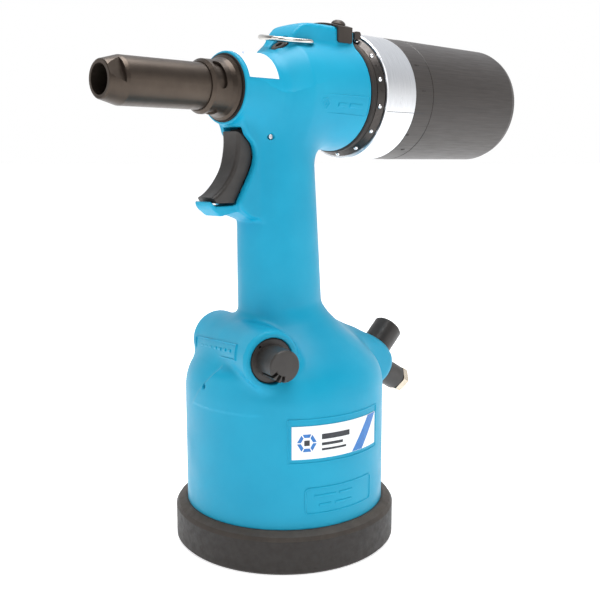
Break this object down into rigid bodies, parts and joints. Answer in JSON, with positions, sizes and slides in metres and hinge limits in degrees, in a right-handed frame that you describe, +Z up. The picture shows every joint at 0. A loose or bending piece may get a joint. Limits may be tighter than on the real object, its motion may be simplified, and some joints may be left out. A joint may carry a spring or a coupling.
{
  "type": "pneumatic rivet gun",
  "caption": "Hand-held hydro-pneumatic blind rivet tool: upright air cylinder base, grip with trigger, level pulling head with nose and rear mandrel collector.",
  "frame": {"origin": "centre of the rubber base's flat underside", "axes": "+Z up along the air cylinder and grip, +X level along the barrel towards the nose, +Y towards the side the main valve's vented knob points to"},
  "size_m": [0.3049, 0.13, 0.3004],
  "materials": {
    "blue_paint": "cast aluminium under smooth semi-gloss cyan-blue enamel, slightly soft at the edges",
    "black_rubber": "matt black moulded rubber",
    "cast_aluminium": "machined aluminium",
    "liner_steel": "honed and turned steel",
    "polished_steel": "hard-chromed, polished",
    "spring_steel": "drawn spring wire",
    "chuck_steel": "hardened, lightly oiled",
    "black_oxide": "turned steel with a black-oxide finish and a faint bronze sheen",
    "black_trim_steel": "blackened steel, satin",
    "black_plastic": "satin black moulded plastic",
    "silver_aluminium": "circumferentially brushed aluminium",
    "nickel": "nickel-plated brass",
    "ring_chrome": "bright chrome wire",
    "washer_copper": "soft copper sealing washer",
    "foam": "open-cell sintered silencer felt",
    "white_label": "printed vinyl label"
  },
  "bodies": {
    "gun": {"body_housing": "blue_paint", "base_bumper": "black_rubber", "base_o_ring": "black_rubber", "rod_seals": "black_rubber", "gland_seals": "black_rubber", "seal_ring": "black_rubber", "nose_seal": "black_rubber", "cylinder_liner": "cast_aluminium", "base_cover": "cast_aluminium", "rod_gland": "cast_aluminium", "rear_spigot": "cast_aluminium", "valve_sleeve": "cast_aluminium", "intensifier_tube": "liner_steel", "head_cylinder": "liner_steel", "front_gland": "liner_steel", "rear_gland": "liner_steel", "base_circlip": "liner_steel", "ball_ring": "liner_steel", "index_balls": "liner_steel", "trigger_pin": "polished_steel", "nose_nut": "black_oxide", "nose_casing": "black_oxide", "saddle_plate": "black_trim_steel", "saddle_rivets": "black_trim_steel", "lock_block": "black_trim_steel", "bleed_screw": "black_trim_steel", "valve_vent_plug": "black_plastic", "valve_end_plug": "black_plastic", "exhaust_silencer": "black_plastic", "pilot_valve_body": "black_plastic", "inlet_nipple": "nickel", "bleed_washer": "washer_copper", "silencer_foam": "foam", "exhaust_disc": "foam", "neck_label": "white_label", "body_label": "white_label"},
    "trigger_slider": {"trigger": "black_plastic", "pilot_stem": "polished_steel", "trigger_spring": "spring_steel"},
    "spool": {"valve_spool": "polished_steel"},
    "intensifier": {"air_piston": "cast_aluminium", "piston_lip_seal": "black_rubber", "intensifier_rod": "polished_steel", "rod_nut": "liner_steel"},
    "puller": {"head_piston": "liner_steel", "head_piston_seals": "black_rubber", "draw_spindle": "polished_steel", "jaw_housing": "chuck_steel", "return_spring": "spring_steel", "jaw_spring": "spring_steel"},
    "jaw_a": {"jaw_1": "chuck_steel"},
    "jaw_b": {"jaw_2": "chuck_steel"},
    "jaw_c": {"jaw_3": "chuck_steel"},
    "spreader": {"jaw_spreader": "chuck_steel"},
    "bail": {"suspension_ring": "ring_chrome"},
    "sleeve": {"collector_sleeve": "silver_aluminium"},
    "bottle": {"bottle_collar": "black_plastic", "collector_bottle": "black_plastic"},
    "inlet": {"inlet_swivel": "black_plastic", "inlet_adaptor": "nickel"}
  },
  "joints": [
    {"name": "trigger_slide", "type": "slide", "parent": "gun", "child": "trigger_slider", "axis": [-1, 0, 0], "range_m": [0, 0.0045], "stiffness_N_per_m": 500, "springref_m": -0.008, "deforming": ["trigger_spring"]},
    {"name": "spool_shift", "type": "slide", "parent": "gun", "child": "spool", "axis": [0.2807, 0.9598, 0], "range_m": [0, 0.005]},
    {"name": "piston_rise", "type": "slide", "parent": "gun", "child": "intensifier", "axis": [0, 0, 1], "range_m": [0, 0.05569]},
    {"name": "pull_stroke", "type": "slide", "parent": "gun", "child": "puller", "axis": [-1, 0, 0], "range_m": [0, 0.024], "deforming": ["return_spring"]},
    {"name": "jaw_1_slide", "type": "slide", "parent": "puller", "child": "jaw_a", "axis": [0.9898, -0.1231, -0.0711], "range_m": [0, 0.002]},
    {"name": "jaw_2_slide", "type": "slide", "parent": "puller", "child": "jaw_b", "axis": [0.9898, 0.1231, -0.0711], "range_m": [0, 0.002]},
    {"name": "jaw_3_slide", "type": "slide", "parent": "puller", "child": "jaw_c", "axis": [0.9898, 0, 0.1421], "range_m": [0, 0.002]},
    {"name": "spreader_slide", "type": "slide", "parent": "puller", "child": "spreader", "axis": [1, 0, 0], "range_m": [0, 0.002], "deforming": ["jaw_spring"]},
    {"name": "bail_swing", "type": "hinge", "parent": "gun", "child": "bail", "pos_m": [-0.0084, 0, 0.2854], "axis": [0, -1, 0], "range_deg": [0, 56]},
    {"name": "sleeve_turn", "type": "hinge", "parent": "gun", "child": "sleeve", "pos_m": [-0.06, 0, 0.2587], "axis": [-1, 0, 0], "continuous": true},
    {"name": "bottle_pull", "type": "slide", "parent": "sleeve", "child": "bottle", "axis": [-1, 0, 0], "range_m": [0, 0.04]},
    {"name": "inlet_turn", "type": "hinge", "parent": "gun", "child": "inlet", "pos_m": [-0.095, 0, 0.08], "axis": [-0.8695, 0, -0.4939], "continuous": true}
  ],
  "couplings": [
    {"joint": "spool_shift", "follows": "trigger_slide", "ratio": 1.111},
    {"joint": "pull_stroke", "follows": "piston_rise", "ratio": 0.4309},
    {"joint": "jaw_1_slide", "follows": "piston_rise", "ratio": 0.0359},
    {"joint": "jaw_2_slide", "follows": "piston_rise", "ratio": 0.0359},
    {"joint": "jaw_3_slide", "follows": "piston_rise", "ratio": 0.0359},
    {"joint": "spreader_slide", "follows": "piston_rise", "ratio": 0.0359}
  ]
}
